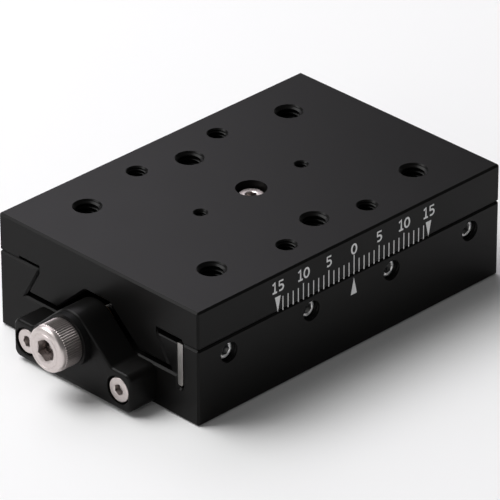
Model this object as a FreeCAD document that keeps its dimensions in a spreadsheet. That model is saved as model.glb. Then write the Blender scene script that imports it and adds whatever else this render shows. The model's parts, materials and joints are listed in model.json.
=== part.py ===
"""Linear translation stage: a dovetail slide driven by a lead screw.

Millimetres. X is the travel, Y the width and Z up. The origin is the centre of the base's bottom face, and
the drive end is at -X. The gib and its set screws are on the -Y side. Every size is a cell of the sheet.
"""
import FreeCAD, Part
import math
import os
import re

import Sketcher
from FreeCAD import Vector

SIZES = {
    # Whole body
    "stage_length": 60.0,
    "stage_width": 40.0,
    "stage_height": 18.0,
    "base_height": 12.0,
    "edge_chamfer": 0.3,
    "travel_each_way": 15.0,
    # Clearances
    "slide_gap": 0.02,
    "running_gap": 0.05,
    "seat_gap": 0.01,
    "thread_gap": 0.02,
    "stop_gap": 0.2,
    # Dovetail slide
    "dovetail_lean": 30.0,
    "dovetail_depth": 4.6,
    "floor_gap": 0.8,
    "corner_blunt": 0.3,
    "relief_depth": 0.4,
    "land_width": 4.1,
    # Gib and its backing strip
    "side_wall": 3.1,
    "strip_thickness": 1.0,
    "strip_drop": 1.5,
    "strip_top_gap": 0.2,
    "slot_bottom_gap": 0.4,
    "gib_top_gap": 0.4,
    "gib_floor_gap": 0.1,
    "gib_end_gap": 0.1,
    "gib_foot": 1.075,
    "gib_edge": 0.15,
    # Gib set screws
    "set_screw_size": 3.0,
    "set_screw_flats": 1.5,
    "set_screw_recess": 1.2,
    "set_socket_depth": 1.0,
    "set_screw_drop": 2.5,
    "set_screw_inner": 8.0,
    "set_screw_outer": 24.0,
    # Lead screw
    "screw_lift": 1.4,
    "screw_size": 4.0,
    "head_size": 7.0,
    "head_length": 4.0,
    "head_edge": 0.4,
    "head_flats": 3.0,
    "head_socket_depth": 2.2,
    "screw_tail": 1.0,
    "screw_tip": 0.5,
    "groove_depth": 0.4,
    # Washers and clips on the lead screw
    "front_washer_size": 7.9,
    "front_washer_thickness": 1.0,
    "rear_washer_size": 7.2,
    "rear_washer_thickness": 0.5,
    "end_washer_size": 5.6,
    "end_washer_thickness": 0.5,
    "clip_size": 5.4,
    "clip_thickness": 0.6,
    "clip_mouth": 2.5,
    "clip_notch_size": 1.2,
    "clip_notch_turn": 55.0,
    # Nut under the carriage
    "nut_length": 10.0,
    "nut_width": 8.0,
    "nut_rise": 5.0,
    "nut_tip_wall": 0.95,
    # Drive bracket
    "bracket_thickness": 5.0,
    "bracket_width": 23.6,
    "bracket_bottom": 0.5,
    "ear_gap": 0.9,
    "boss_size": 8.4,
    "shoulder_slope": 42.0,
    "ear_corner": 1.2,
    "foot_round": 1.0,
    "bracket_edge": 0.25,
    "bush_size": 6.0,
    # Small socket screws of the bracket and the nut
    "small_screw_size": 2.0,
    "small_head_size": 3.8,
    "small_head_length": 2.0,
    "small_head_edge": 0.2,
    "small_flats": 1.5,
    "small_socket_depth": 1.0,
    "small_hole_room": 0.3,
    "tip_room": 0.5,
    "ear_screw_inset": 2.55,
    "bracket_screw_length": 8.0,
    "bracket_head_room": 0.5,
    "bracket_head_sink": 0.1,
    "nut_head_room": 0.8,
    "nut_head_sink": 1.0,
    # Hollows in the carriage and the base
    "bell_room": 0.8,
    "bell_rise": 0.35,
    "bell_corner": 1.0,
    "tunnel_room": 0.2,
    "groove_room": 0.5,
    # Tapped holes of the table
    "large_tap_size": 3.3,
    "large_mouth": 4.3,
    "large_spacing_long": 40.0,
    "large_spacing_wide": 25.0,
    "middle_tap_size": 2.5,
    "middle_mouth": 3.2,
    "middle_spacing_long": 16.0,
    "middle_spacing_wide": 30.0,
    "small_tap_size": 1.6,
    "small_mouth": 2.2,
    "small_spacing": 20.0,
    "tapped_depth": 4.4,
    # Mounting holes of the base
    "mount_hole_size": 4.5,
    "mount_head_room": 7.5,
    "mount_head_depth": 4.2,
    "mount_spacing_long": 40.0,
    "mount_spacing_wide": 20.0,
}

DERIVED = {
    # Whole body
    "half_length": "stage_length / 2",
    "half_width": "stage_width / 2",
    # Dovetail section
    "lean_slope": "tan(dovetail_lean * 1 deg)",
    "floor_height": "base_height - dovetail_depth - floor_gap",
    "screw_height": "floor_height + screw_lift",
    "tail_bottom": "base_height - dovetail_depth",
    "side_gap": "slide_gap / cos(dovetail_lean * 1 deg)",
    "neck_half": "gib_outside - gib_foot - (base_height - gib_bottom) * lean_slope - side_gap",
    "tail_corner": "neck_half + dovetail_depth * lean_slope - corner_blunt",
    "mouth_half": "neck_half + side_gap",
    "underside": "base_height + slide_gap",
    "relief_height": "base_height + relief_depth",
    # Gib section
    "wall_inside": "half_width - side_wall",
    "strip_outside": "wall_inside - slide_gap",
    "strip_inside": "strip_outside - strip_thickness",
    "gib_outside": "strip_inside - slide_gap",
    "gib_bottom": "floor_height + gib_floor_gap",
    "gib_top": "base_height - gib_top_gap",
    "strip_bottom": "floor_height - strip_drop",
    "strip_top": "base_height - strip_top_gap",
    "slot_bottom": "strip_bottom - slot_bottom_gap",
    "set_screw_height": "base_height - set_screw_drop",
    # Places along the lead screw
    "bracket_front": "-half_length - bracket_thickness",
    "head_back": "bracket_front - slide_gap - front_washer_thickness",
    "head_front": "head_back - head_length",
    "rear_washer_front": "-half_length + slide_gap",
    "retaining_clip_front": "rear_washer_front + rear_washer_thickness",
    "end_washer_front": "nut_length / 2 + travel_each_way + stop_gap",
    "end_clip_front": "end_washer_front + end_washer_thickness",
    "screw_end": "end_clip_front + clip_thickness + screw_tail",
    "bell_depth": "travel_each_way + slide_gap + rear_washer_thickness + stop_gap",
    "bore_size": "screw_size + 2 * running_gap",
    "groove_size": "screw_size - 2 * groove_depth",
    "clip_bore": "groove_size + 2 * seat_gap",
    "tunnel_size": "end_washer_size + 2 * tunnel_room",
    "base_groove_size": "nut_width + 2 * groove_room",
    # Bracket outline
    "ear_top": "tail_bottom - ear_gap",
    "bracket_screw_height": "(bracket_bottom + ear_top) / 2",
    "bracket_screw_side": "bracket_width / 2 - ear_screw_inset",
    "slope_sine": "sin(shoulder_slope * 1 deg)",
    "slope_cosine": "cos(shoulder_slope * 1 deg)",
    "shoulder_side": "boss_size / 2 * slope_sine",
    "shoulder_top": "screw_height + boss_size / 2 * slope_cosine",
    "foot_side": "shoulder_side + (shoulder_top - ear_top) * slope_cosine / slope_sine",
    # Bell pocket outline: its slopes lie at one distance from the screw's axis, beside the bracket's
    "bell_reach": "boss_size / 2 + bell_room",
    "bell_ceiling": "screw_height + boss_size / 2 + bell_rise",
    "bell_floor": "tail_bottom - 1",
    "bell_side": "(bell_reach - (bell_ceiling - screw_height) * slope_cosine) / slope_sine",
    "bell_foot": "(bell_reach + (screw_height - bell_floor) * slope_cosine) / slope_sine",
    # Screw seats
    "bracket_head_front": "bracket_front + bracket_head_sink",
    "bracket_head_depth": "bracket_head_sink + small_head_length",
    "bracket_hole_depth": "bracket_head_depth + bracket_screw_length - bracket_thickness + tip_room",
    "small_clearance": "small_screw_size + small_hole_room",
    "nut_top": "screw_height + nut_rise",
    "nut_tip": "screw_height + bore_size / 2 + nut_tip_wall",
    "nut_head_top": "stage_height - nut_head_sink",
    "nut_head_depth": "nut_head_sink + small_head_length",
    "nut_screw_length": "stage_height - nut_head_depth - nut_tip",
    "set_screw_front": "half_width - set_screw_recess",
    "set_screw_length": "set_screw_front - strip_outside",
}

ROUGH_RADIUS = 10.0
TINY = 1e-4

doc = FreeCAD.newDocument("stage")
sheet = doc.addObject("Spreadsheet::Sheet", "Sizes")
for row, (alias, value) in enumerate(SIZES.items(), start=1):
    sheet.set(f"A{row}", alias)
    sheet.set(f"B{row}", str(value))
    sheet.setAlias(f"B{row}", alias)
doc.recompute()


def bound(text):
    """The expression with each derived name written out and each size pointing at its cell."""
    def replace(match):
        word = match.group(0)
        if word in DERIVED:
            return f"({bound(DERIVED[word])})"
        return f"Sizes.{word}" if word in SIZES else word

    return re.sub(r"[a-z_]+", replace, text)


def size(name):
    """The number in one cell."""
    return float(sheet.get(name))


def new_body(name, height=None):
    """A piece in its own body, lifted to a height where one is given."""
    body = doc.addObject("PartDesign::Body", name)
    body.Label = name
    if height:
        body.setExpression("Placement.Base.z", bound(height))
    return body


def new_sketch(body, plane, offset="0"):
    """A sketch parallel to one of the body's origin planes, moved along that plane's normal."""
    support = next(item for item in body.Origin.OriginFeatures if item.Role == plane)
    sketch = body.newObject("Sketcher::SketchObject", "Sketch")
    sketch.AttachmentSupport = (support, "")
    sketch.MapMode = "FlatFace"
    sketch.setExpression("AttachmentOffset.Base.z", bound(offset))
    return sketch


def pin_point(sketch, geometry, point, rough, place):
    """Holds a point of the sketch at the place that two expressions give."""
    for kind, start, expression in zip(("DistanceX", "DistanceY"), rough, place):
        index = sketch.addConstraint(Sketcher.Constraint(kind, -1, 1, geometry, point, start))
        sketch.setExpression(f"Constraints[{index}]", bound(expression))


def add_outline(sketch, corners):
    """A closed outline of straight lines through the corners."""
    count = len(corners)
    rough = []
    for index in range(count):
        angle = 2 * math.pi * (index + 0.3) / count
        rough.append(Vector(ROUGH_RADIUS * math.cos(angle), ROUGH_RADIUS * math.sin(angle), 0))
    first = sketch.GeometryCount
    for index in range(count):
        sketch.addGeometry(Part.LineSegment(rough[index], rough[(index + 1) % count]), False)
    for index in range(count):
        following = first + (index + 1) % count
        sketch.addConstraint(Sketcher.Constraint("Coincident", first + index, 2, following, 1))
    for index, corner in enumerate(corners):
        pin_point(sketch, first + index, 1, (rough[index].x, rough[index].y), corner)


def add_circle(sketch, centre, diameter):
    """A circle by its centre and diameter."""
    circle = Part.Circle(Vector(1, 1, 0), Vector(0, 0, 1), 1)
    geometry = sketch.addGeometry(circle, False)
    pin_point(sketch, geometry, 3, (1.0, 1.0), centre)
    index = sketch.addConstraint(Sketcher.Constraint("Diameter", geometry, 2.0))
    sketch.setExpression(f"Constraints[{index}]", bound(diameter))


def add_hexagon(sketch, centre, flats):
    """A hexagon socket by its centre and the distance across its flats."""
    corners = []
    for turn in range(0, 360, 60):
        across = f"{centre[0]} + {flats} / 2 / cos(30 deg) * cos({turn} deg)"
        up = f"{centre[1]} + {flats} / 2 / cos(30 deg) * sin({turn} deg)"
        corners.append((across, up))
    add_outline(sketch, corners)


def extrude(body, kind, sketch, length, midplane=False, backwards=False):
    """A pad or a pocket of a sketch, checked to have added or cut something."""
    doc.recompute()
    before = body.Shape.Volume if body.Tip else 0.0
    feature = body.newObject(f"PartDesign::{kind}", kind)
    feature.Profile = sketch
    feature.Midplane = midplane
    feature.Reversed = backwards
    feature.setExpression("Length", bound(length))
    doc.recompute()
    change = feature.Shape.Volume - before
    if change * (1 if kind == "Pad" else -1) <= 0:
        raise ValueError(f"{body.Label}: a {kind} changed nothing")
    return feature


def drill(body, plane, offset, centres, diameter, depth, cut, backwards=False):
    """A group of like holes. cut is (kind, diameter, depth) of the mouth, and no depth means through."""
    sketch = new_sketch(body, plane, offset)
    for centre in centres:
        add_circle(sketch, centre, diameter)
    doc.recompute()
    hole = body.newObject("PartDesign::Hole", "Hole")
    hole.Profile = sketch
    doc.recompute()
    hole.Reversed = backwards
    hole.setExpression("Diameter", bound(diameter))
    if depth:
        hole.DepthType = "Dimension"
        hole.setExpression("Depth", bound(depth))
    else:
        hole.DepthType = "ThroughAll"
    cut_kind, cut_size, cut_depth = cut
    hole.DrillPoint = "Flat"
    hole.HoleCutType = cut_kind
    hole.HoleCutCustomValues = True
    hole.setExpression("HoleCutDiameter", bound(cut_size))
    if cut_kind == "Countersink":
        hole.HoleCutCountersinkAngle = 90
    else:
        hole.setExpression("HoleCutDepth", bound(cut_depth))
    doc.recompute()
    return hole


def same(first, second):
    """True for two numbers that are equal but for rounding."""
    return abs(first - second) < TINY


def along_travel(points):
    """True for the end points of an edge that runs the length of the stage."""
    return abs(points[0].x - points[-1].x) > size("stage_length") / 2


def edges_where(feature, wanted):
    """Names of the edges of a feature whose end points pass a test."""
    names = []
    for index, edge in enumerate(feature.Shape.Edges, start=1):
        points = [vertex.Point for vertex in edge.Vertexes]
        if wanted(edge, points):
            names.append(f"Edge{index}")
    return names


def dress(body, kind, feature, names, amount):
    """A fillet or a chamfer on named edges."""
    dressed = body.newObject(f"PartDesign::{kind}", kind)
    dressed.Base = (feature, names)
    dressed.setExpression("Radius" if kind == "Fillet" else "Size", bound(amount))
    doc.recompute()
    if "Invalid" in dressed.State:
        raise ValueError(f"{body.Label}: a {kind} failed")
    return dressed


def around(spacing_x, spacing_y):
    """The four corners of a rectangle of holes."""
    return [(f"{sx} * {spacing_x} / 2", f"{sy} * {spacing_y} / 2") for sx in (-1, 1) for sy in (-1, 1)]


def on_outer_edges(edge, points):
    """True for an edge of a block's end face or of its side faces."""
    half_length = size("stage_length") / 2
    half_width = size("stage_width") / 2
    if edge.isClosed():
        return False
    ends = same(points[0].x, points[-1].x) and same(abs(points[0].x), half_length)
    sides = all(same(abs(point.y), half_width) for point in points)
    return ends or sides


def make_base():
    """Lower body: a block with the dovetail channel, the strip's slot and the groove of the lead screw."""
    body = new_body("base")
    section = new_sketch(body, "YZ_Plane")
    add_outline(section, [
        ("-half_width", "0"),
        ("half_width", "0"),
        ("half_width", "base_height"),
        ("mouth_half", "base_height"),
        ("mouth_half + (base_height - floor_height) * lean_slope", "floor_height"),
        ("-gib_outside", "floor_height"),
        ("-gib_outside", "slot_bottom"),
        ("-wall_inside", "slot_bottom"),
        ("-wall_inside", "base_height"),
        ("-half_width", "base_height"),
    ])
    block = extrude(body, "Pad", section, "stage_length", midplane=True)

    slot_height = min(vertex.Z for vertex in block.Shape.Vertexes if vertex.Z > TINY)
    edges = edges_where(block, lambda edge, points: all(same(point.z, slot_height) for point in points)
                        and along_travel(points))
    dress(body, "Fillet", block, edges, "(strip_thickness + slide_gap) / 2")

    groove = new_sketch(body, "YZ_Plane")
    add_circle(groove, ("0", "screw_height"), "base_groove_size")
    extrude(body, "Pocket", groove, "stage_length", midplane=True)

    drill(body, "XY_Plane", "floor_height", around("mount_spacing_long", "mount_spacing_wide"),
          "mount_hole_size", None, ("Counterbore", "mount_head_room", "mount_head_depth"))

    ears = new_sketch(body, "YZ_Plane", "-half_length")
    for side in (-1, 1):
        add_circle(ears, (f"{side} * bracket_screw_side", "bracket_screw_height"), "small_screw_size")
    extrude(body, "Pocket", ears, "bracket_hole_depth", backwards=True)

    screws = new_sketch(body, "XZ_Plane", "half_width")
    for place in set_screw_places():
        add_circle(screws, (place, "set_screw_height"), "set_screw_size")
    last = extrude(body, "Pocket", screws, "side_wall + strip_thickness / 2")

    land = size("base_height")
    half_width = size("stage_width") / 2
    edges = edges_where(last, on_outer_edges)
    edges += edges_where(last, lambda edge, points: along_travel(points) and all(
        same(point.z, land) and TINY < point.y < half_width - TINY for point in points))
    dress(body, "Chamfer", last, edges, "edge_chamfer")
    return body


def set_screw_places():
    """Where the four gib screws stand along the side of the base."""
    return [f"{side} * {name}" for name in ("set_screw_inner", "set_screw_outer") for side in (-1, 1)]


def make_carriage():
    """Upper body: the table with its tapped holes, the male dovetail and the hollows over the drive."""
    body = new_body("carriage")
    section = new_sketch(body, "YZ_Plane")
    blunt_height = "tail_bottom + corner_blunt / lean_slope"
    add_outline(section, [
        ("-half_width", "stage_height"),
        ("-half_width", "underside"),
        ("-wall_inside", "underside"),
        ("-wall_inside", "relief_height"),
        ("-neck_half", "relief_height"),
        ("-neck_half", "base_height"),
        ("-tail_corner", blunt_height),
        ("-tail_corner", "tail_bottom"),
        ("tail_corner", "tail_bottom"),
        ("tail_corner", blunt_height),
        ("neck_half", "base_height"),
        ("neck_half", "relief_height"),
        ("half_width - land_width", "relief_height"),
        ("half_width - land_width", "underside"),
        ("half_width", "underside"),
        ("half_width", "stage_height"),
    ])
    extrude(body, "Pad", section, "stage_length", midplane=True)

    tunnel = new_sketch(body, "YZ_Plane")
    add_circle(tunnel, ("0", "screw_height"), "tunnel_size")
    extrude(body, "Pocket", tunnel, "stage_length", midplane=True)

    bell = new_sketch(body, "YZ_Plane", "-half_length")
    add_outline(bell, [
        ("-bell_foot", "bell_floor"),
        ("bell_foot", "bell_floor"),
        ("bell_side", "bell_ceiling"),
        ("-bell_side", "bell_ceiling"),
    ])
    hollow = extrude(body, "Pocket", bell, "bell_depth", backwards=True)
    relief = size("base_height") + size("relief_depth")
    table_top = size("stage_height")
    corners = edges_where(hollow, lambda edge, points: same(points[0].y, points[-1].y)
                          and all(relief + TINY < point.z < table_top - TINY for point in points))
    dress(body, "Fillet", hollow, corners, "bell_corner")

    seat = new_sketch(body, "XY_Plane", "nut_top")
    add_outline(seat, [
        ("-nut_length / 2 - seat_gap", "-nut_width / 2 - seat_gap"),
        ("nut_length / 2 + seat_gap", "-nut_width / 2 - seat_gap"),
        ("nut_length / 2 + seat_gap", "nut_width / 2 + seat_gap"),
        ("-nut_length / 2 - seat_gap", "nut_width / 2 + seat_gap"),
    ])
    last = extrude(body, "Pocket", seat, "nut_top - tail_bottom + 1")

    edges = edges_where(last, lambda edge, points: on_outer_edges(edge, points)
                        and not (same(points[0].y, points[-1].y)
                                 and same(max(point.z for point in points), relief)))
    dress(body, "Chamfer", last, edges, "edge_chamfer")

    drill(body, "XY_Plane", "stage_height", [("0", "0")], "small_clearance", "stage_height - nut_top",
          ("Counterbore", "small_head_size + nut_head_room", "nut_head_depth"))
    large = around("large_spacing_long", "large_spacing_wide")
    large += [("0", f"{side} * large_spacing_wide / 2") for side in (-1, 1)]
    drill(body, "XY_Plane", "stage_height", large, "large_tap_size", "tapped_depth",
          ("Countersink", "large_mouth", None))
    drill(body, "XY_Plane", "stage_height", around("middle_spacing_long", "middle_spacing_wide"),
          "middle_tap_size", "tapped_depth", ("Countersink", "middle_mouth", None))
    small = [(f"{side} * small_spacing / 2", "0") for side in (-1, 1)]
    drill(body, "XY_Plane", "stage_height", small, "small_tap_size", "tapped_depth",
          ("Countersink", "small_mouth", None))
    return body


def make_gib():
    """Trapezoid bar whose sloping face guides the carriage's dovetail."""
    body = new_body("gib")
    section = new_sketch(body, "YZ_Plane")
    add_outline(section, [
        ("-gib_outside", "gib_bottom"),
        ("-mouth_half - (base_height - gib_bottom) * lean_slope", "gib_bottom"),
        ("-mouth_half - (base_height - gib_top) * lean_slope", "gib_top"),
        ("-gib_outside", "gib_top"),
    ])
    bar = extrude(body, "Pad", section, "stage_length - 2 * gib_end_gap", midplane=True)
    end = size("stage_length") / 2 - size("gib_end_gap")
    edges = edges_where(bar, lambda edge, points: all(same(abs(point.x), end) for point in points)
                        and same(points[0].x, points[-1].x))
    dress(body, "Chamfer", bar, edges, "gib_edge")
    return body


def make_gib_strip():
    """Flat strip with a round lower edge, between the gib and the points of the set screws."""
    body = new_body("gib_strip")
    section = new_sketch(body, "YZ_Plane")
    add_outline(section, [
        ("-strip_outside", "strip_bottom"),
        ("-strip_inside", "strip_bottom"),
        ("-strip_inside", "strip_top"),
        ("-strip_outside", "strip_top"),
    ])
    bar = extrude(body, "Pad", section, "stage_length - 2 * gib_end_gap", midplane=True)
    lowest = bar.Shape.BoundBox.ZMin
    edges = edges_where(bar, lambda edge, points: all(same(point.z, lowest) for point in points)
                        and along_travel(points))
    dress(body, "Fillet", bar, edges, "strip_thickness / 2 - seat_gap")
    return body


def make_set_screw(name, place):
    """Set screw with a hexagon socket, its point against the strip."""
    body = new_body(name)
    disc = new_sketch(body, "XZ_Plane", "set_screw_front")
    add_circle(disc, (place, "set_screw_height"), "set_screw_size - 2 * thread_gap")
    extrude(body, "Pad", disc, "set_screw_length", backwards=True)
    socket = new_sketch(body, "XZ_Plane", "set_screw_front")
    add_hexagon(socket, (place, "set_screw_height"), "set_screw_flats")
    extrude(body, "Pocket", socket, "set_socket_depth")
    return body


def make_cap_screw(name, plane, face, centre, shank, along_normal):
    """Small socket head screw whose head's outer face lies at a given offset of a plane."""
    body = new_body(name)
    head = new_sketch(body, plane, face)
    add_circle(head, centre, "small_head_size")
    disc = extrude(body, "Pad", head, "small_head_length", backwards=not along_normal)
    box = disc.Shape.BoundBox
    rims = edges_where(disc, lambda edge, points: edge.isClosed() and (
        same(points[0].x, box.XMin) if plane == "YZ_Plane" else same(points[0].z, box.ZMax)))
    dress(body, "Chamfer", disc, rims, "small_head_edge")
    stem = new_sketch(body, plane, face)
    add_circle(stem, centre, "small_screw_size - 2 * thread_gap")
    extrude(body, "Pad", stem, f"small_head_length + {shank}", backwards=not along_normal)
    socket = new_sketch(body, plane, face)
    add_hexagon(socket, centre, "small_flats")
    extrude(body, "Pocket", socket, "small_socket_depth", backwards=along_normal)
    return body


def make_bracket():
    """End bracket: a round boss on the screw's axis, with sloping shoulders down to two ears."""
    body = new_body("drive_bracket")
    outline = new_sketch(body, "YZ_Plane", "bracket_front")
    add_outline(outline, [
        ("-bracket_width / 2", "bracket_bottom"),
        ("bracket_width / 2", "bracket_bottom"),
        ("bracket_width / 2", "ear_top"),
        ("foot_side", "ear_top"),
        ("shoulder_side", "shoulder_top"),
        ("-shoulder_side", "shoulder_top"),
        ("-foot_side", "ear_top"),
        ("-bracket_width / 2", "ear_top"),
    ])
    extrude(body, "Pad", outline, "bracket_thickness")
    boss = new_sketch(body, "YZ_Plane", "bracket_front")
    add_circle(boss, ("0", "screw_height"), "boss_size")
    plate = extrude(body, "Pad", boss, "bracket_thickness")

    half = size("bracket_width") / 2
    ear = size("base_height") - size("dovetail_depth") - size("ear_gap")
    corners = edges_where(plate, lambda edge, points: same(abs(points[0].y), half)
                          and same(points[0].y, points[-1].y) and same(points[0].z, points[-1].z))
    rounded = dress(body, "Fillet", plate, corners, "ear_corner")
    inner = half - size("ear_corner") - TINY
    feet = edges_where(rounded, lambda edge, points: all(same(point.z, ear) for point in points)
                       and same(points[0].y, points[-1].y) and abs(points[0].y) < inner)
    rounded = dress(body, "Fillet", rounded, feet, "foot_round")
    front = rounded.Shape.BoundBox.XMin
    outer = edges_where(rounded, lambda edge, points: all(same(point.x, front) for point in points)
                        and not edge.isClosed())
    dress(body, "Chamfer", rounded, outer, "bracket_edge")

    bore = new_sketch(body, "YZ_Plane", "bracket_front")
    add_circle(bore, ("0", "screw_height"), "bush_size + 2 * seat_gap")
    extrude(body, "Pocket", bore, "bracket_thickness", backwards=True)
    places = [(f"{side} * bracket_screw_side", "bracket_screw_height") for side in (-1, 1)]
    drill(body, "YZ_Plane", "bracket_front", places, "small_clearance", None,
          ("Counterbore", "small_head_size + bracket_head_room", "bracket_head_depth"), backwards=True)
    return body


def make_ring(name, front, outside, inside, thickness):
    """A plain ring on the screw's axis."""
    body = new_body(name, "screw_height")
    ring = new_sketch(body, "YZ_Plane", front)
    add_circle(ring, ("0", "0"), outside)
    add_circle(ring, ("0", "0"), inside)
    extrude(body, "Pad", ring, thickness)
    return body


def make_clip(name, front):
    """Open retaining clip with three inner lugs, pushed sideways into a groove of the screw."""
    body = make_ring(name, front, "clip_size", "clip_bore", "clip_thickness")
    mouth = new_sketch(body, "YZ_Plane", front)
    add_outline(mouth, [
        ("-clip_mouth / 2", "0"),
        ("-clip_mouth / 2", "-clip_size"),
        ("clip_mouth / 2", "-clip_size"),
        ("clip_mouth / 2", "0"),
    ])
    extrude(body, "Pocket", mouth, "clip_thickness", backwards=True)
    notches = new_sketch(body, "YZ_Plane", front)
    for side in (-1, 1):
        across = f"{side} * clip_bore / 2 * sin(clip_notch_turn * 1 deg)"
        up = "clip_bore / 2 * cos(clip_notch_turn * 1 deg)"
        add_circle(notches, (across, up), "clip_notch_size")
    extrude(body, "Pocket", notches, "clip_thickness", backwards=True)
    return body


def make_lead_screw():
    """Screw with its socket head, two clip grooves and a bevelled tip, revolved about its axis."""
    body = new_body("lead_screw", "screw_height")
    section = new_sketch(body, "XZ_Plane")
    stem = "screw_size / 2"
    groove = "groove_size / 2"
    add_outline(section, [
        ("head_front", "0"),
        ("head_front", "head_size / 2"),
        ("head_back", "head_size / 2"),
        ("head_back", stem),
        ("retaining_clip_front", stem),
        ("retaining_clip_front", groove),
        ("retaining_clip_front + clip_thickness", groove),
        ("retaining_clip_front + clip_thickness", stem),
        ("end_clip_front", stem),
        ("end_clip_front", groove),
        ("end_clip_front + clip_thickness", groove),
        ("end_clip_front + clip_thickness", stem),
        ("screw_end - screw_tip", stem),
        ("screw_end", "screw_size / 2 - screw_tip"),
        ("screw_end", "0"),
    ])
    doc.recompute()
    turned = body.newObject("PartDesign::Revolution", "Revolution")
    turned.Profile = section
    turned.ReferenceAxis = (section, ["H_Axis"])
    turned.Angle = 360
    doc.recompute()
    front = turned.Shape.BoundBox.XMin
    rims = edges_where(turned, lambda edge, points: same(points[0].x, front) and edge.isClosed())
    dress(body, "Chamfer", turned, rims, "head_edge")
    socket = new_sketch(body, "YZ_Plane", "head_front")
    add_hexagon(socket, ("0", "0"), "head_flats")
    extrude(body, "Pocket", socket, "head_socket_depth", backwards=True)
    return body


def make_nut():
    """Nut with a square top that fills its seat in the carriage and a round underside."""
    body = new_body("lead_nut")
    block = new_sketch(body, "YZ_Plane")
    add_outline(block, [
        ("-nut_width / 2", "screw_height"),
        ("nut_width / 2", "screw_height"),
        ("nut_width / 2", "nut_top"),
        ("-nut_width / 2", "nut_top"),
    ])
    extrude(body, "Pad", block, "nut_length", midplane=True)
    belly = new_sketch(body, "YZ_Plane")
    add_circle(belly, ("0", "screw_height"), "nut_width")
    extrude(body, "Pad", belly, "nut_length", midplane=True)
    bore = new_sketch(body, "YZ_Plane")
    add_circle(bore, ("0", "screw_height"), "bore_size")
    extrude(body, "Pocket", bore, "nut_length", midplane=True)
    tapped = new_sketch(body, "XY_Plane", "nut_top")
    add_circle(tapped, ("0", "0"), "small_screw_size")
    extrude(body, "Pocket", tapped, "nut_top - nut_tip + tip_room")
    return body


make_base()
make_carriage()
make_gib()
make_gib_strip()
for number, place in enumerate(set_screw_places(), start=1):
    make_set_screw(f"gib_screw_{number}", place)
make_bracket()
for name, side in (("bracket_screw_left", 1), ("bracket_screw_right", -1)):
    centre = (f"{side} * bracket_screw_side", "bracket_screw_height")
    make_cap_screw(name, "YZ_Plane", "bracket_head_front", centre, "bracket_screw_length", along_normal=True)
make_ring("bracket_bush", "bracket_front", "bush_size", "bore_size", "bracket_thickness")
make_lead_screw()
make_ring("thrust_washer_front", "head_back", "front_washer_size", "bore_size", "front_washer_thickness")
make_ring("thrust_washer_rear", "rear_washer_front", "rear_washer_size", "bore_size", "rear_washer_thickness")
make_clip("retaining_clip", "retaining_clip_front")
make_ring("end_washer", "end_washer_front", "end_washer_size", "bore_size", "end_washer_thickness")
make_clip("end_clip", "end_clip_front")
make_nut()
make_cap_screw("nut_screw", "XY_Plane", "nut_head_top", ("0", "0"), "nut_screw_length", along_normal=False)
doc.recompute()

pieces = [item for item in doc.Objects if item.isDerivedFrom("PartDesign::Body")]
for item in doc.Objects:
    if "Invalid" in item.State or "Error" in item.State:
        raise RuntimeError(f"{item.Label} failed: {item.State}")
for piece in pieces:
    if piece.Shape.isNull() or not piece.Shape.isValid() or len(piece.Shape.Solids) != 1:
        raise RuntimeError(f"{piece.Label} is not one valid solid")

os.makedirs("parts", exist_ok=True)
for piece in pieces:
    piece.Shape.exportStep(f"parts/{piece.Label}.step")
    box = piece.Shape.BoundBox
    print(f"{piece.Label}: {piece.Shape.Volume:.2f} mm3, X {box.XMin:.2f} {box.XMax:.2f},"
          f" Y {box.YMin:.2f} {box.YMax:.2f}, Z {box.ZMin:.2f} {box.ZMax:.2f}")
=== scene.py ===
"""Looks of a linear translation stage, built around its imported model.

Metres, in the model's own frame: X is the travel, Y the width and Z up. The drive end is at -X, and the scale
and the gib screws are on the -Y side. Sizes in millimetres are multiplied by MM.
"""

import json
import math

import bmesh
import bpy
from mathutils import Matrix, Vector


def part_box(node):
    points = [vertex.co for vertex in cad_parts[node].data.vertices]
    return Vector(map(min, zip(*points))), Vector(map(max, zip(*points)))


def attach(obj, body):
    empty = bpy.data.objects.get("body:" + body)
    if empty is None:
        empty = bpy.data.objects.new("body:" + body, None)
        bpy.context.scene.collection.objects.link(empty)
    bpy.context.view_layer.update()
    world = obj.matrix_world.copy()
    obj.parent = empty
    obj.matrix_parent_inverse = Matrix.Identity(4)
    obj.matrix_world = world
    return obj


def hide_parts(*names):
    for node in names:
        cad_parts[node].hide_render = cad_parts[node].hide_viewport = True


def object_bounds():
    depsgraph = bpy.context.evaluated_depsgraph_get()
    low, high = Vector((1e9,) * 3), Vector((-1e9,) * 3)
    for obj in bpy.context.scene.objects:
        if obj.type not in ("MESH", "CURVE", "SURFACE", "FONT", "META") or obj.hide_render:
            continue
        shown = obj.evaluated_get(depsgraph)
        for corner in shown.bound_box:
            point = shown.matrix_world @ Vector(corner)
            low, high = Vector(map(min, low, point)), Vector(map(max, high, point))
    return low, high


MM = 0.001
FULL_TURN = 2 * math.pi

# Directions: out of the drive end, into it, out of the side with the scale, and up
OUT_OF_END = (-1, 0, 0)
INTO_END = (1, 0, 0)
OUT_OF_SIDE = (0, -1, 0)
UP = (0, 0, 1)

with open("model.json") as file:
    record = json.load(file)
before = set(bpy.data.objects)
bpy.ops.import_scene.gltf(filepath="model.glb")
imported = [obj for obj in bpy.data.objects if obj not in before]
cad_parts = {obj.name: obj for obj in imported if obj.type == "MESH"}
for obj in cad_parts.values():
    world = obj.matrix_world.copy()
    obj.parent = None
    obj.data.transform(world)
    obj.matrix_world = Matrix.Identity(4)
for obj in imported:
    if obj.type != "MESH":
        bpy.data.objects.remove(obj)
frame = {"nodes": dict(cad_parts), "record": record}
cad_low, cad_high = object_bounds()

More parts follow.
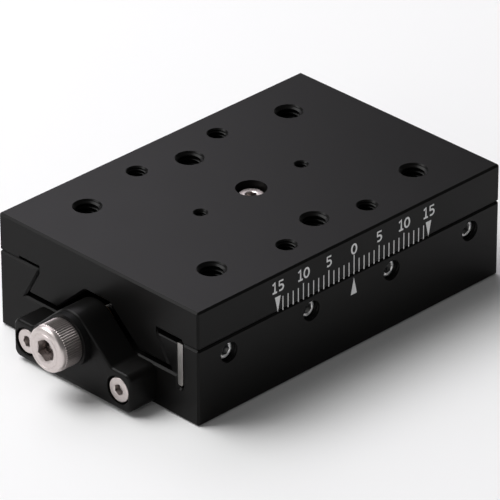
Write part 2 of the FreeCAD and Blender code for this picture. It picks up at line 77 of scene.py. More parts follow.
# Camera, as the photograph was taken
VIEW_AZIMUTH = math.radians(-44.66)
VIEW_ELEVATION = math.radians(29.56)
VIEW_ROLL = math.radians(-0.13)
VIEW_DISTANCE = 763.6 * MM
VIEW_RIGHT = -0.216 * MM
VIEW_UP = 6.893 * MM
LENS = 385.3
SENSOR = 36.0

# Threads, as major diameter and pitch in millimetres
M4_THREAD = (4.0, 0.7)
M3_THREAD = (3.0, 0.5)
M2_THREAD = (2.0, 0.4)
M2_SCREW = (1.96, 0.4)
DRIVE_THREAD = (4.0, 0.5)
SIDE_THREAD = (3.3, 0.5)

# Steps in a turn of a thread, and its depth as a part of the pitch
THREAD_STEPS = 40
THREAD_DEPTH = 0.54

# Tapped holes of the table: thread, tap drill and places, in millimetres
TAPPED_HOLES = [
    (M4_THREAD, 3.3, [(x, y) for x in (-20, 20, 0) for y in (-12.5, 12.5)]),
    (M3_THREAD, 2.5, [(x, y) for x in (-8, 8) for y in (-15, 15)]),
    (M2_THREAD, 1.6, [(x, 0) for x in (-10, 10)]),
]
TAP_DEPTH = 4.2
TAP_GAP = 0.01
SIDE_THREAD_DEPTH = 1.6
SIDE_THREAD_CORE = 1.51

# How far cutters reach past a face, and pieces of one screw into each other, in millimetres
CUT_ABOVE = 0.2
OVERLAP = 0.1

# Scale on the side of the table and pointer on the side of the base, in millimetres
SCALE_REACH = 15
SCALE_SHIFT = 0.3
LINE_FOOT = 12.0
LINE_WIDTH = 0.17
LINE_TOPS = {"zero": 15.06, "five": 14.6, "one": 14.2}
END_ARROW_TOP = 14.5
END_ARROW_WIDTH = 1.1
POINTER_TOP = 11.4
POINTER_FOOT = 8.8
POINTER_WIDTH = 1.2
NUMBER_FOOT = 15.15
NUMBER_HEIGHT = 1.75
DIGIT_STROKE = 0.33
DIGIT_PITCH = 1.24
INK_THICKNESS = 0.012

# Hexagon sockets: distance across the flats, depth and bevel of the mouth, in millimetres
DRIVE_SOCKET = (3.0, 2.2, 0.42)
CAP_SOCKET = (1.5, 1.0, 0.2)
SET_SOCKET = (1.5, 1.0, 0.16)

# Slope of a socket's mouth, and the length of its drilled point as a part of the distance across the flats
MOUTH_SLOPE = 0.6
DRILL_POINT = 0.25

# Drive screw, in millimetres
HEAD_SIZE = 7.0
HEAD_LENGTH = 4.0
HEAD_STEP = 0.1
HEAD_ROUNDING = 0.55
RIDGE_DEPTH = 0.14
RIDGE_FRONT = 1.0
RIDGE_RISE = 0.12
RIDGE_MARGIN = 0.05
RIDGE_BACK = 0.15
SHANK_RADIUS = 2.0
GROOVE_RADIUS = 1.6
THREAD_RUNOUT = 1.0

# Ring groove in the face of the drive head: its points, as distances outwards and along the axis
RING_RADIUS = 2.45
RING_GROOVE = [(0.0, 0.0), (0.04, -0.05), (0.14, -0.05), (0.18, -0.01)]
RING_WIDTH = 0.2

# Number of the knob's ridges, and steps in each
HEAD_RIDGES = 60
RIDGE_STEPS = 4

# Small screws, in millimetres
CAP_RADIUS = 1.9
CAP_HEIGHT = 2.0
CAP_ROUNDING = 0.28
CAP_CHAMFER = 0.08
SET_RADIUS = 1.46
SET_FACE_RADIUS = 1.12
SET_FACE_BEVEL = 0.3
SET_TIP_RADIUS = 1.2
SET_TIP_BEVEL = 0.25
SET_SCREW_OUT = 0.35

# Turns of the set screws' sockets, from number 1 to number 4, in radians
SET_SCREW_TURNS = (0.1, 0.6, 0.35, 0.8)

# Softened edges of the bracket in millimetres, and the least angle of such an edge in degrees
SOFT_EDGE = 0.07
SHARP_ANGLE = 25

# Faces are one up to an angle, and shading is smooth up to another, in degrees
FLAT_ANGLE = 0.1
SMOOTH_ANGLE = 22.0

# Steps in a turn of a turned piece and of a cone, and steps in a rounded edge
LATHE_STEPS = 64
CONE_STEPS = 48
ROUND_STEPS = 6

# Distances at which points of a mesh are taken as one
CAD_MERGE = 1e-7
PLANE_MERGE = 1e-8
LATHE_MERGE = 0.0005 * MM
THREAD_MERGE = 0.001 * MM

# Tints of the screws' steel, as parts of red, green and blue
WARM = (1.08, 0.98, 0.95)
NEUTRAL = (1.3, 1.3, 1.29)

# Two levels of the screws' steel, and its turning marks in a millimetre
STEEL_LEVELS = (0.55, 0.64)
TURNING_MARKS = 14.0

# Level of the lightest painted shade in a socket's hollow, and the darkest one as a part of it
HEAD_SOCKET_SHADE = 0.57
SET_SOCKET_SHADE = 0.4
DARKEST_SOCKET_SHADE = 0.32

# How strong the painted shade is between the knob's ridges
KNURL_GROOVE_SHADE = 0.7

# Floor, in millimetres, and the light of the room
FLOOR_REACH = 600.0
FLOOR_DROP = 0.02
FADE_START = 300.0
FADE_END = 590.0
HORIZON_START = 0.02
HORIZON_END = 0.22
HORIZON_LIGHT = 0.75
ROOM_LIGHT = 0.1


class Wire:
    """A socket in a material's node tree. Arithmetic on it adds Math nodes."""

    def __init__(self, socket):
        self.socket = socket
        self.tree = socket.id_data

    def math(self, operation, *values):
        node = self.tree.nodes.new("ShaderNodeMath")
        node.operation = operation
        for place, value in enumerate(values):
            plug(self.tree, node.inputs[place], value)
        return Wire(node.outputs[0])

    def __add__(self, other):
        return self.math("ADD", self, other)

    def __sub__(self, other):
        return self.math("SUBTRACT", self, other)

    def __mul__(self, other):
        return self.math("MULTIPLY", self, other)

    def __rsub__(self, other):
        return self.math("SUBTRACT", other, self)

    def __pow__(self, other):
        return self.math("POWER", self, other)

    def __abs__(self):
        return self.math("ABSOLUTE", self)


def plug(tree, socket, value):
    """Links a wire to a socket, or sets the socket to a plain value."""
    if isinstance(value, Wire):
        tree.links.new(value.socket, socket)
    else:
        socket.default_value = value


class Nodes:
    """A node tree under construction."""

    def __init__(self, owner):
        owner.use_nodes = True
        self.tree = owner.node_tree

    def node(self, kind, settings, values, output=0):
        """Adds a node, with its settings first and then its sockets' values or links."""
        node = self.tree.nodes.new(f"ShaderNode{kind}")
        for name, value in settings.items():
            setattr(node, name, value)
        for name, value in values.items():
            plug(self.tree, node.inputs[name], value)
        return Wire(node.outputs[output])

    def axes(self, vector):
        """The three parts of a vector."""
        split = self.node("SeparateXYZ", {}, {0: vector})
        return [Wire(socket) for socket in split.socket.node.outputs]

    def ramp(self, wire, low, high):
        """Runs from 0 at a low value of the wire to 1 at a high one, with soft ends."""
        return self.node("MapRange", {"interpolation_type": "SMOOTHSTEP"},
                         {"Value": wire, "From Min": low, "From Max": high})


class Finish(Nodes):
    """A material of the object or of the floor."""

    def __init__(self, name):
        self.material = bpy.data.materials.new(name)
        super().__init__(self.material)
        self.shader = self.tree.nodes["Principled BSDF"]

    def place(self):
        """Object coordinates in millimetres, as a vector."""
        where = self.node("TexCoord", {}, {}, "Object")
        return self.node("VectorMath", {"operation": "SCALE"}, {0: where, "Scale": 1 / MM})

    def noise(self, vector, per_mm, detail=2.0):
        """Noise between 0 and 1 with a number of bumps to the millimetre."""
        return self.node("TexNoise", {}, {"Vector": vector, "Scale": per_mm, "Detail": detail})

    def blend(self, share, first, second):
        """A colour between two colours."""
        return self.node("Mix", {"data_type": "RGBA"}, {0: share, 6: first, 7: second}, 2)

    def bump(self, height, depth_mm):
        """A bump whose height runs from 0 to a depth in millimetres."""
        return self.node("Bump", {}, {"Height": height, "Distance": depth_mm * MM, "Strength": 1.0})

    def set(self, **values):
        """Sets sockets of the shader. A name's underscores stand for spaces."""
        for name, value in values.items():
            plug(self.tree, self.shader.inputs[name.replace("_", " ")], value)


def grey(value, warmth=0.0):
    """A colour near grey, with a little red added and blue taken away for warmth."""
    return (value * (1 + warmth), value, value * (1 - warmth), 1.0)


def tinted(level, tint):
    """A colour from a level and a tint."""
    return (*(level * part for part in tint), 1.0)


def black_anodised():
    """Satin black anodised aluminium with a fine blasted grain."""
    finish = Finish("black_anodised")
    where = finish.place()
    grain = finish.noise(where, 9.0, 3.0)
    cloud = finish.noise(where, 0.12, 1.0)
    finish.set(
        Base_Color=finish.blend(cloud, grey(0.0032, 0.02), grey(0.0048, 0.06)),
        Roughness=grain * 0.06 + cloud * 0.04 + 0.27,
        Normal=finish.bump(grain, 0.0006),
        Specular_IOR_Level=0.105,
    )
    return finish.material


def brushed_steel(name, level):
    """Stainless steel with fine marks along X, at a level of lightness."""
    finish = Finish(name)
    where = finish.place()
    cloud = finish.noise(where, 0.9, 2.0)
    stretched = finish.node("VectorMath", {"operation": "MULTIPLY"}, {0: where, 1: (0.6, 8.0, 8.0)})
    marks = finish.noise(stretched, 3.0)
    finish.set(
        Base_Color=finish.blend(cloud, grey(level, 0.03), grey(1.09 * level, 0.05)),
        Metallic=1.0,
        Roughness=marks * 0.12 + cloud * 0.05 + 0.22,
        Normal=finish.bump(marks, 0.0016),
    )
    return finish.material


def socket_steel(name, face, axis, flats, tint, socket_shade, ridge_radius=None):
    """Turned stainless steel of a screw's head, with painted shade darkening the hollow of its pressed
    socket.

    The face is the middle of the head's face in millimetres, and the axis is 0, 1 or 2 for X, Y or Z. The
    socket shade is the lightest level of the painted shade in the socket. A knurled head gives the radius of
    its ridges, and the grooves between them get painted shade as well.
    """
    finish = Finish(name)
    where = finish.place()
    offset = finish.node("VectorMath", {"operation": "SUBTRACT"}, {0: where, 1: tuple(face)})
    sides = finish.axes(offset)
    depth = abs(sides.pop(axis))
    from_axis = (sides[0] * sides[0] + sides[1] * sides[1]) ** 0.5
    rings = finish.node("CombineXYZ", {}, {0: from_axis * TURNING_MARKS, 1: depth * TURNING_MARKS, 2: 0.0})
    marks = finish.noise(rings, 1.0)
    cloud = finish.noise(where, 2.5, 3.0)
    corner = flats / math.sqrt(3)
    # Painted shade: the colour darkens in the socket's hollow and, on a knurled head, between the ridges, and
    # the roughness drops there
    deep = finish.ramp(depth, 0.03 * flats, 0.1 * flats)
    shade_mask = deep * (1 - finish.ramp(from_axis, corner + 0.03, corner + 0.1))
    if ridge_radius:
        groove = finish.ramp(depth, RIDGE_FRONT, RIDGE_FRONT + 0.2)
        groove *= 1 - finish.ramp(from_axis, ridge_radius - 0.6 * RIDGE_DEPTH, ridge_radius)
        shade_mask = shade_mask + groove * KNURL_GROOVE_SHADE
    outer = finish.blend(cloud, *(tinted(level, tint) for level in STEEL_LEVELS))
    shade_colour = finish.blend(cloud, tinted(DARKEST_SOCKET_SHADE * socket_shade, tint), tinted(socket_shade, tint))
    finish.set(
        Base_Color=finish.blend(shade_mask, outer, shade_colour),
        Metallic=1.0,
        Roughness=marks * 0.1 + 0.38 - shade_mask * 0.12,
        Normal=finish.bump(marks, 0.0016),
    )
    return finish.material


def plain_metal(name, dark, light, roughness):
    """A machined metal in two near tones with fine random marks."""
    finish = Finish(name)
    where = finish.place()
    marks = finish.noise(where, 6.0, 3.0)
    cloud = finish.noise(where, 0.7, 1.0)
    finish.set(
        Base_Color=finish.blend(cloud, dark, light),
        Metallic=1.0,
        Roughness=marks * 0.15 + roughness,
        Normal=finish.bump(marks, 0.002),
    )
    return finish.material


def matte_acetal():
    """Dark moulded acetal with a faint sheen."""
    finish = Finish("black_plastic")
    marks = finish.noise(finish.place(), 12.0, 2.0)
    finish.set(
        Base_Color=finish.blend(marks, grey(0.004), grey(0.007)),
        Roughness=marks * 0.1 + 0.35,
        Normal=finish.bump(marks, 0.001),
        Specular_IOR_Level=0.1,
    )
    return finish.material


def scale_ink():
    """Light grey filling of the scale's lines and numbers, a little uneven."""
    finish = Finish("scale_ink")
    marks = finish.noise(finish.place(), 5.0, 3.0)
    finish.set(
        Base_Color=finish.blend(marks, grey(0.55), grey(0.8)),
        Roughness=marks * 0.2 + 0.55,
    )
    return finish.material


def in_body(obj, body, material):
    """Puts a finished piece in the scene, on its body, with its finish."""
    bpy.context.scene.collection.objects.link(obj)
    obj.data.materials.clear()
    obj.data.materials.append(material)
    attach(obj, body)


def smooth(mesh):
    """Smooth shading, with the edges of larger angles left sharp."""
    mesh.shade_smooth()
    mesh.set_sharp_from_angle(angle=math.radians(SMOOTH_ANGLE))


def finished(name, shape):
    """A new object that takes its mesh from a bmesh, which is freed. Stored normals are dropped."""
    mesh = bpy.data.meshes.new(name)
    bmesh.ops.recalc_face_normals(shape, faces=shape.faces)
    shape.to_mesh(mesh)
    shape.free()
    if "custom_normal" in mesh.attributes:
        mesh.attributes.remove(mesh.attributes["custom_normal"])
    smooth(mesh)
    return bpy.data.objects.new(name, mesh)


def clean_shape(node):
    """A copy of a CAD node's mesh with its triangles merged into whole faces."""
    shape = bmesh.new()
    shape.from_mesh(frame["nodes"][node].data)
    bmesh.ops.remove_doubles(shape, verts=shape.verts, dist=CAD_MERGE)
    bmesh.ops.dissolve_limit(shape, angle_limit=math.radians(FLAT_ANGLE), verts=shape.verts,
                            edges=shape.edges)
    return shape


def cut(obj, cutters):
    """Takes the cutters away from a piece and removes them."""
    scene = bpy.context.scene.collection
    for item in [obj, *cutters]:
        scene.objects.link(item)
    for cutter in cutters:
        modifier = obj.modifiers.new("cut", "BOOLEAN")
        modifier.operation = "DIFFERENCE"
        modifier.solver = "MANIFOLD"
        modifier.object = cutter
    bpy.context.view_layer.update()
    evaluated = obj.evaluated_get(bpy.context.evaluated_depsgraph_get())
    mesh = bpy.data.meshes.new_from_object(evaluated)
    obj.modifiers.clear()
    obj.data = mesh
    for cutter in cutters:
        bpy.data.objects.remove(cutter)
    scene.objects.unlink(obj)
    smooth(mesh)


def along(axis, place):
    """A turn that takes +Z to an axis, and a move to a place in millimetres."""
    turn = Vector((0, 0, 1)).rotation_difference(Vector(axis)).to_matrix().to_4x4()
    return Matrix.Translation(Vector(place) * MM) @ turn


def thread(name, thread_size, start, end, axis, place, core=None):
    """A threaded rod along an axis, from start to end millimetres past a place.

    The core is the radius at its roots, where that isn't the usual one.
    """
    major, pitch = thread_size
    crest = major / 2
    root = core or crest - THREAD_DEPTH * pitch
    outline = ((root, 0.0), (root, 0.25), (crest, 0.5625), (crest, 0.6875))
    shape = bmesh.new()
    turns = math.ceil((end - start) / pitch) + 2
    previous = None
    for number in range(turns):
        foot = start + (number - 1) * pitch
        for radius, share in outline:
            vertex = shape.verts.new(Vector((radius, 0, foot + share * pitch)) * MM)
            if previous:
                shape.edges.new((previous, vertex))
            previous = vertex
    bmesh.ops.spin(shape, geom=shape.verts[:] + shape.edges[:], cent=(0, 0, 0), axis=(0, 0, 1),
                   dvec=(0, 0, pitch * MM / THREAD_STEPS), angle=FULL_TURN, steps=THREAD_STEPS,
                   use_merge=False)
    bmesh.ops.remove_doubles(shape, verts=shape.verts, dist=THREAD_MERGE)
    for height, direction in ((start, -1), (end, 1)):
        everything = shape.verts[:] + shape.edges[:] + shape.faces[:]
        bmesh.ops.bisect_plane(shape, geom=everything, dist=PLANE_MERGE,
                               plane_co=(0, 0, height * MM), plane_no=(0, 0, direction), clear_outer=True)
        rim = [edge for edge in shape.edges if edge.is_boundary]
        rim = [edge for edge in rim if all(abs(v.co.z - height * MM) < THREAD_MERGE for v in edge.verts)]
        bmesh.ops.holes_fill(shape, edges=rim)
    bmesh.ops.transform(shape, matrix=along(axis, place), verts=shape.verts)
    return finished(name, shape)


def prism(name, sides, flats, start, end, axis, place, turn):
    """A regular prism by its distance across flats, from start to end millimetres past a place."""
    shape = bmesh.new()
    radius = flats / 2 / math.cos(math.pi / sides) * MM
    middle = Matrix.Translation((0, 0, (start + end) / 2 * MM)) @ Matrix.Rotation(turn, 4, "Z")
    bmesh.ops.create_cone(shape, cap_ends=True, segments=sides, radius1=radius, radius2=radius,
                          depth=(end - start) * MM, matrix=along(axis, place) @ middle)
    return finished(name, shape)


def cone(name, wide, narrow, start, end, axis, place):
    """A cone by its two diameters, from start to end millimetres past a place."""
    shape = bmesh.new()
    middle = Matrix.Translation((0, 0, (start + end) / 2 * MM))
    bmesh.ops.create_cone(shape, cap_ends=True, segments=CONE_STEPS, radius1=wide / 2 * MM,
                          radius2=narrow / 2 * MM, depth=(end - start) * MM,
                          matrix=along(axis, place) @ middle)
    return finished(name, shape)


def turned(name, outline, axis, place, steps=LATHE_STEPS):
    """A piece turned on a lathe. The outline gives (radius, distance along the axis) in millimetres."""
    shape = bmesh.new()
    previous = None
    for radius, distance in outline:
        vertex = shape.verts.new(Vector((radius, 0, distance)) * MM)
        if previous:
            shape.edges.new((previous, vertex))
        previous = vertex
    bmesh.ops.spin(shape, geom=shape.verts[:] + shape.edges[:], cent=(0, 0, 0), axis=(0, 0, 1),
                   angle=FULL_TURN, steps=steps, use_merge=True)
    bmesh.ops.remove_doubles(shape, verts=shape.verts, dist=LATHE_MERGE)
    bmesh.ops.transform(shape, matrix=along(axis, place), verts=shape.verts)
    return finished(name, shape)


def joined(name, pieces):
    """One object from several, which are removed."""
    shape = bmesh.new()
    for piece in pieces:
        shape.from_mesh(piece.data)
        bpy.data.objects.remove(piece)
    return finished(name, shape)


def rounded(radius, front, reach, depth):
    """Outline points of an outer edge that is rounded over a reach inwards and a depth along the axis."""
    points = []
    for step in range(ROUND_STEPS + 1):
        angle = math.pi / 2 * step / ROUND_STEPS
        points.append((radius - reach + reach * math.sin(angle), front - depth + depth * math.cos(angle)))
    return points


def hex_socket(size, axis, place, turn):
    """Cutters of a hexagon socket: the hexagon, its drilled end and its bevelled mouth."""
    flats, depth, flare = size
    wide = flats + 2 * (flare + CUT_ABOVE / MOUTH_SLOPE)
    past_face = 1.0
    tip = 0.02
    seam = 0.001
    return [
        prism("hexagon", 6, flats, -depth, past_face, axis, place, turn),
        cone("drill_end", flats, tip, -depth + seam, -depth - flats * DRILL_POINT, axis, place),
        cone("mouth", flats, wide, -flare * MOUTH_SLOPE, CUT_ABOVE, axis, place),
    ]


def knurl(obj, axis_height, radius, front, back):
    """Presses straight ridges into the rim of the knob, between two places along X."""
    near_rim = radius - 0.01
    for vertex in obj.data.vertices:
        side = Vector((vertex.co.y, vertex.co.z - axis_height * MM))
        if side.length / MM < near_rim or not front < vertex.co.x / MM < back:
            continue
        ridge = math.atan2(side.y, side.x) * HEAD_RIDGES / FULL_TURN
        wave = abs((ridge % 1.0) * 2 - 1)
        side *= (radius - RIDGE_DEPTH * (1 - wave)) / radius
        vertex.co.y = side.x
        vertex.co.z = side.y + axis_height * MM


def carriage_top():
    """The table with real threads in its tapped holes."""
    table = finished("table", clean_shape("carriage"))
    top = cad_high.z / MM
    taps = []
    for size, drill, places in TAPPED_HOLES:
        core = drill / 2 + TAP_GAP
        for x, y in places:
            taps.append(thread("tap", size, -TAP_DEPTH, CUT_ABOVE, UP, (x, y, top), core))
    cut(table, taps)
    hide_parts("carriage")
    in_body(table, "carriage", anodised)


def side_mark(shape, corners):
    """Adds a flat mark on the -Y side, given its corners as (x, z) in millimetres.

    It stands out by the thickness of the ink and goes half as far into the side.
    """
    face_y = cad_low.y
    front = [shape.verts.new((x * MM, face_y - INK_THICKNESS * MM, z * MM)) for x, z in corners]
    face = shape.faces.new(front)
    made = bmesh.ops.extrude_face_region(shape, geom=[face])
    moved = [item for item in made["geom"] if isinstance(item, bmesh.types.BMVert)]
    bmesh.ops.translate(shape, verts=moved, vec=(0, 1.5 * INK_THICKNESS * MM, 0))


def scale_lines():
    """The millimetre lines, with an arrow in place of the line at each end."""
    shape = bmesh.new()
    for number in range(-SCALE_REACH + 1, SCALE_REACH):
        kind = "zero" if number == 0 else "five" if number % 5 == 0 else "one"
        left = number + SCALE_SHIFT - LINE_WIDTH / 2
        right = left + LINE_WIDTH
        top = LINE_TOPS[kind]
        side_mark(shape, [(left, LINE_FOOT), (right, LINE_FOOT), (right, top), (left, top)])
    for end in (-SCALE_REACH, SCALE_REACH):
        middle = end + SCALE_SHIFT
        side_mark(shape, [(middle, LINE_FOOT), (middle + END_ARROW_WIDTH / 2, END_ARROW_TOP),
                          (middle - END_ARROW_WIDTH / 2, END_ARROW_TOP)])
    in_body(finished("scale_lines", shape), "carriage", ink)


def pointer():
    """The arrow on the base that the scale is read against."""
    shape = bmesh.new()
    side_mark(shape, [(SCALE_SHIFT, POINTER_TOP), (SCALE_SHIFT - POINTER_WIDTH / 2, POINTER_FOOT),
                      (SCALE_SHIFT + POINTER_WIDTH / 2, POINTER_FOOT)])
    in_body(finished("pointer", shape), "base", ink)


def arc(centre, reach, start, end, steps=14):
    """Points of an ellipse's arc between two angles in degrees, as (across, up)."""
    points = []
    for step in range(steps + 1):
        angle = math.radians(start + (end - start) * step / steps)
        points.append((centre[0] + reach[0] * math.cos(angle), centre[1] + reach[1] * math.sin(angle)))
    return points


# Strokes of the digits, as points (across, up) in parts of the height
DIGIT_STROKES = {
    "0": [arc((0, 0.5), (0.27, 0.41), 90, 450, 28)],
    "1": [[(0.04, 0.0), (0.04, 0.97), (-0.2, 0.8)], [(-0.22, 0.07), (0.27, 0.07)]],
    "5": [[(0.26, 0.92), (-0.19, 0.92), (-0.19, 0.56)] + arc((-0.03, 0.33), (0.29, 0.25), 118, -125)],
}


def scale_numbers():
    """The scale's numbers, drawn as strokes and pressed flat onto the side of the table."""
    shape = bmesh.new()
    for number in range(-SCALE_REACH, SCALE_REACH + 1, 5):
        digits = str(abs(number))
        for place, digit in enumerate(digits):
            left = number + SCALE_SHIFT + (place - (len(digits) - 1) / 2) * DIGIT_PITCH
            curve = bpy.data.curves.new("digit", "CURVE")
            curve.dimensions = "3D"
            curve.bevel_depth = DIGIT_STROKE / 2
            curve.bevel_resolution = 1
            curve.use_fill_caps = True
            for stroke in DIGIT_STROKES[digit]:
                spline = curve.splines.new("POLY")
                spline.points.add(len(stroke) - 1)
                for point, (across, up) in zip(spline.points, stroke):
                    point.co = (across * NUMBER_HEIGHT, 0, up * NUMBER_HEIGHT, 1)
            drawn = bpy.data.objects.new("digit", curve)
            mesh = bpy.data.meshes.new_from_object(drawn)
            flat = Matrix.Diagonal((MM, 2 * INK_THICKNESS / DIGIT_STROKE * MM, MM, 1.0))
            mesh.transform(Matrix.Translation((left * MM, cad_low.y, NUMBER_FOOT * MM)) @ flat)
            shape.from_mesh(mesh)
            bpy.data.objects.remove(drawn)
            bpy.data.meshes.remove(mesh)
    in_body(finished("scale_numbers", shape), "carriage", ink)


def drive_head(front, height):
    """The knurled socket head of the lead screw, its face at a place along X and its axis at a height."""
    rim = HEAD_SIZE / 2
    ridge_front = RIDGE_FRONT + RIDGE_RISE
    ridge_back = HEAD_LENGTH - RIDGE_BACK
    smooth_rim = rim - HEAD_STEP
    outline = [(0.0, 0.0)]
    outline += [(RING_RADIUS + across, distance) for across, distance in RING_GROOVE]
    ring_end = RING_GROOVE[-1][1]
    outline += rounded(smooth_rim, ring_end, smooth_rim - RING_RADIUS - RING_WIDTH, HEAD_ROUNDING)
    outline += [(smooth_rim, -RIDGE_FRONT), (rim, -ridge_front), (rim, -HEAD_LENGTH / 2), (rim, -ridge_back),
                (rim - RIDGE_BACK, -HEAD_LENGTH), (0.0, -HEAD_LENGTH)]
    place = (front, 0, height)
    head = turned("drive_head", outline, OUT_OF_END, place, steps=HEAD_RIDGES * RIDGE_STEPS)
    knurl_front = front + RIDGE_FRONT + RIDGE_MARGIN
    knurl_back = front + HEAD_LENGTH - RIDGE_BACK / 2
    knurl(head, height, rim, knurl_front, knurl_back)
    smooth(head.data)
    cut(head, hex_socket(DRIVE_SOCKET, OUT_OF_END, place, math.pi / 6))
    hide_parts("lead_screw")
    finish = socket_steel("knob_steel", place, 0, DRIVE_SOCKET[0], WARM, HEAD_SOCKET_SHADE, rim)
    in_body(head, "drive", finish)


def drive_shaft(start, tip, height):
    """The rest of the lead screw, between two places along X: shank, clip groove, fine thread and neck."""
    clip_low, clip_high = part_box("retaining_clip")
    end_low, end_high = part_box("end_clip")
    centre = (0, 0, height)
    thread_start = clip_high.x / MM + THREAD_RUNOUT
    neck_start = end_low.x / MM - OVERLAP
    neck_end = end_high.x / MM + OVERLAP
    shank = turned("shank", [
        (0.0, start), (SHANK_RADIUS, start),
        (SHANK_RADIUS, clip_low.x / MM), (GROOVE_RADIUS, clip_low.x / MM),
        (GROOVE_RADIUS, clip_high.x / MM), (SHANK_RADIUS, clip_high.x / MM),
        (SHANK_RADIUS, thread_start), (0.0, thread_start),
    ], INTO_END, centre)
    neck = turned("neck", [
        (0.0, neck_start), (GROOVE_RADIUS, neck_start), (GROOVE_RADIUS, neck_end), (0.0, neck_end),
    ], INTO_END, centre)
    long_thread = thread("long", DRIVE_THREAD, thread_start, end_low.x / MM, INTO_END, centre)
    end_thread = thread("end", DRIVE_THREAD, end_high.x / MM, tip, INTO_END, centre)
    shaft = joined("drive_shaft", [shank, neck, long_thread, end_thread])
    in_body(shaft, "drive", greased)


def drive_screw():
    """The lead screw, as its head and its shaft."""
    low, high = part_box("lead_screw")
    height = (low.z + high.z) / 2 / MM
    front = low.x / MM
    drive_head(front, height)
    drive_shaft(front + HEAD_LENGTH - 2 * OVERLAP, high.x / MM, height)


def cap_screw(node, body, outward, turn):
    """Small socket head screw in place of a CAD one. The turn is its socket's, in radians."""
    low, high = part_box(node)
    middle = (low + high) / 2 / MM
    axis = Vector(outward)
    length = abs((high - low).dot(axis)) / MM
    face = middle + axis * length / 2
    outline = [(0.0, 0.0)] + rounded(CAP_RADIUS, 0.0, CAP_ROUNDING, CAP_ROUNDING)
    outline += [(CAP_RADIUS, CAP_CHAMFER - CAP_HEIGHT), (CAP_RADIUS - CAP_CHAMFER, -CAP_HEIGHT),
                (0.0, -CAP_HEIGHT)]
    head = turned(f"{node}_head", outline, outward, face)
    cut(head, hex_socket(CAP_SOCKET, outward, face, turn))
    stem = thread("stem", M2_SCREW, -length, OVERLAP - CAP_HEIGHT, outward, face)
    screw = joined(f"{node}_m2", [head, stem])
    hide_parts(node)
    along_axis = max(range(3), key=lambda number: abs(axis[number]))
    finish = socket_steel(f"{node}_steel", face, along_axis, CAP_SOCKET[0], WARM, HEAD_SOCKET_SHADE)
    in_body(screw, body, finish)


def set_screw(number, turn):
    """Set screw with a bevelled rim, a little further out than the CAD one. The turn is its socket's."""
    node = f"gib_screw_{number}"
    low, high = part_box(node)
    middle = (low + high) / 2 / MM
    face = Vector((middle.x, low.y / MM - SET_SCREW_OUT, middle.z))
    length = high.y / MM - face.y
    outline = [(0.0, 0.0), (SET_FACE_RADIUS, 0.0), (SET_RADIUS, -SET_FACE_BEVEL),
               (SET_RADIUS, SET_TIP_BEVEL - length), (SET_TIP_RADIUS, -length), (0.0, -length)]
    screw = turned(f"set_screw_{number}", outline, OUT_OF_SIDE, face)
    cut(screw, hex_socket(SET_SOCKET, OUT_OF_SIDE, face, turn))
    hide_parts(node)
    finish = socket_steel(f"{node}_steel", face, 1, SET_SOCKET[0], NEUTRAL, SET_SOCKET_SHADE)
    in_body(screw, "base", finish)


def base_block():
    """The base with real threads round its four set screws."""
    block = finished("base_block", clean_shape("base"))
    taps = []
    for number in range(1, len(SET_SCREW_TURNS) + 1):
        low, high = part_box(f"gib_screw_{number}")
        middle = (low + high) / 2 / MM
        face = (middle.x, cad_low.y / MM, middle.z)
        tap = thread("tap", SIDE_THREAD, -SIDE_THREAD_DEPTH, CUT_ABOVE, OUT_OF_SIDE, face, SIDE_THREAD_CORE)
        taps.append(tap)
    cut(block, taps)
    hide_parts("base")
    in_body(block, "base", anodised)


def bracket():
    """The drive bracket with its edges softened."""
    shape = clean_shape("drive_bracket")
    sharp = [edge for edge in shape.edges if edge.calc_face_angle(0.0) > math.radians(SHARP_ANGLE)]
    bmesh.ops.bevel(shape, geom=sharp, offset=SOFT_EDGE * MM, segments=2, affect="EDGES", profile=0.5,
                    material=-1, clamp_overlap=True)
    plate = finished("end_bracket", shape)
    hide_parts("drive_bracket")
    in_body(plate, "base", anodised)


def floor():
    """A pale floor that fades out into the horizon of the room."""
    shape = bmesh.new()
    bmesh.ops.create_grid(shape, x_segments=1, y_segments=1, size=FLOOR_REACH * MM)
    bmesh.ops.translate(shape, verts=shape.verts, vec=(0, 0, -FLOOR_DROP * MM))
    ground = finished("floor", shape)
    bpy.context.scene.collection.objects.link(ground)
    finish = Finish("floor_paper")
    x, y = finish.axes(finish.place())[:2]
    fade = finish.ramp((x * x + y * y) ** 0.5, FADE_START, FADE_END)
    finish.set(Base_Color=grey(0.9), Roughness=0.9, Specular_IOR_Level=0.1, Alpha=1 - fade)
    ground.data.materials.append(finish.material)


def lamp(name, place, size, power, tint=(1.0, 1.0, 1.0)):
    """A square soft lamp at a place in millimetres, turned to the middle of the floor."""
    light = bpy.data.lights.new(name, "AREA")
    light.size = size * MM
    light.energy = power
    light.color = tint
    obj = bpy.data.objects.new(name, light)
    obj.location = Vector(place) * MM
    obj.rotation_mode = "QUATERNION"
    obj.rotation_quaternion = (-obj.location).to_track_quat("-Z", "Y")
    bpy.context.scene.collection.objects.link(obj)


def studio():
    """Four soft lamps in a dim room with a pale horizon."""
    world = bpy.data.worlds.new("room")
    bpy.context.scene.world = world
    room = Nodes(world)
    height = room.axes(room.node("TexCoord", {}, {}, "Generated"))[2]
    horizon = 1 - room.ramp(abs(height), HORIZON_START, HORIZON_END)
    background = room.tree.nodes["Background"]
    background.inputs["Color"].default_value = grey(1.0)
    plug(room.tree, background.inputs["Strength"], horizon * HORIZON_LIGHT + ROOM_LIGHT)
    lamp("above", (-260, 470, 870), 700, 8.9)
    lamp("left", (-520, 520, 600), 500, 1.4)
    lamp("front", (-900, -250, 330), 450, 1.1)
    lamp("back", (350, 765, 757), 720, 4.0, (1.0, 0.96, 1.03))


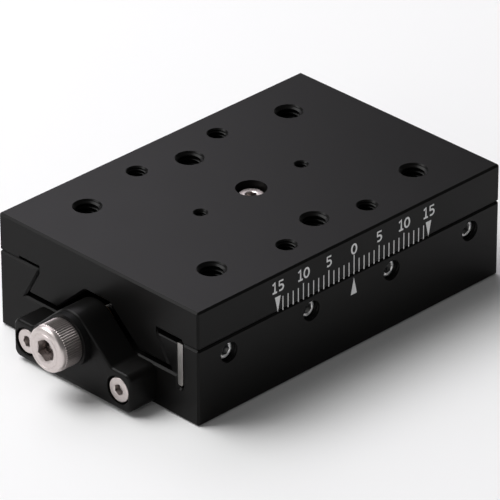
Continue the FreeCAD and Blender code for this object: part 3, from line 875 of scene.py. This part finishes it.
def camera():
    """The camera where the photograph was taken from."""
    azimuth, elevation = VIEW_AZIMUTH, VIEW_ELEVATION
    back = Vector((math.sin(azimuth) * math.cos(elevation), -math.cos(azimuth) * math.cos(elevation),
                   math.sin(elevation)))
    level = Vector((math.cos(azimuth), math.sin(azimuth), 0))
    upright = back.cross(level)
    right = level * math.cos(VIEW_ROLL) + upright * math.sin(VIEW_ROLL)
    up = upright * math.cos(VIEW_ROLL) - level * math.sin(VIEW_ROLL)
    data = bpy.data.cameras.new("camera")
    data.lens = LENS
    data.sensor_width = SENSOR
    data.clip_start = 0.01
    data.clip_end = 10.0
    obj = bpy.data.objects.new("camera", data)
    turn = Matrix((right, up, back)).transposed().to_4x4()
    obj.matrix_world = Matrix.Translation(right * VIEW_RIGHT + up * VIEW_UP + back * VIEW_DISTANCE) @ turn
    bpy.context.scene.collection.objects.link(obj)
    bpy.context.scene.camera = obj


# Finishes of the CAD pieces
anodised = black_anodised()
steel = brushed_steel("stainless_steel", 0.57)
dull_steel = brushed_steel("strip_steel", 0.33)
greased = plain_metal("greased_steel", grey(0.1, 0.03), grey(0.18, 0.05), 0.14)
spring = plain_metal("spring_steel", grey(0.10), grey(0.16), 0.35)
brass = plain_metal("brass", (0.62, 0.44, 0.17, 1.0), (0.74, 0.55, 0.26, 1.0), 0.25)
bronze = plain_metal("bronze", (0.42, 0.26, 0.13, 1.0), (0.52, 0.34, 0.19, 1.0), 0.32)
acetal = matte_acetal()
ink = scale_ink()

NODE_FINISHES = {
    "black_anodised": anodised,
    "stainless_steel": steel,
    "spring_steel": spring,
    "brass": brass,
    "bronze": bronze,
    "black_plastic": acetal,
}
for part in frame["record"]["subparts"]:
    node = frame["nodes"][part["node"]]
    finish = dull_steel if part["node"] == "gib_strip" else NODE_FINISHES[part["material_slot"]]
    for place in node.material_slots:
        place.material = finish

# Pieces in place of CAD ones, and the scale
carriage_top()
scale_lines()
scale_numbers()
pointer()
drive_screw()
cap_screw("bracket_screw_left", "base", OUT_OF_END, 0.2)
cap_screw("bracket_screw_right", "base", OUT_OF_END, 0.5)
cap_screw("nut_screw", "carriage", UP, 0.3)
for number, turn in enumerate(SET_SCREW_TURNS, start=1):
    set_screw(number, turn)
base_block()
bracket()

# Studio
floor()
studio()
camera()
bpy.context.scene.view_settings.view_transform = "Standard"
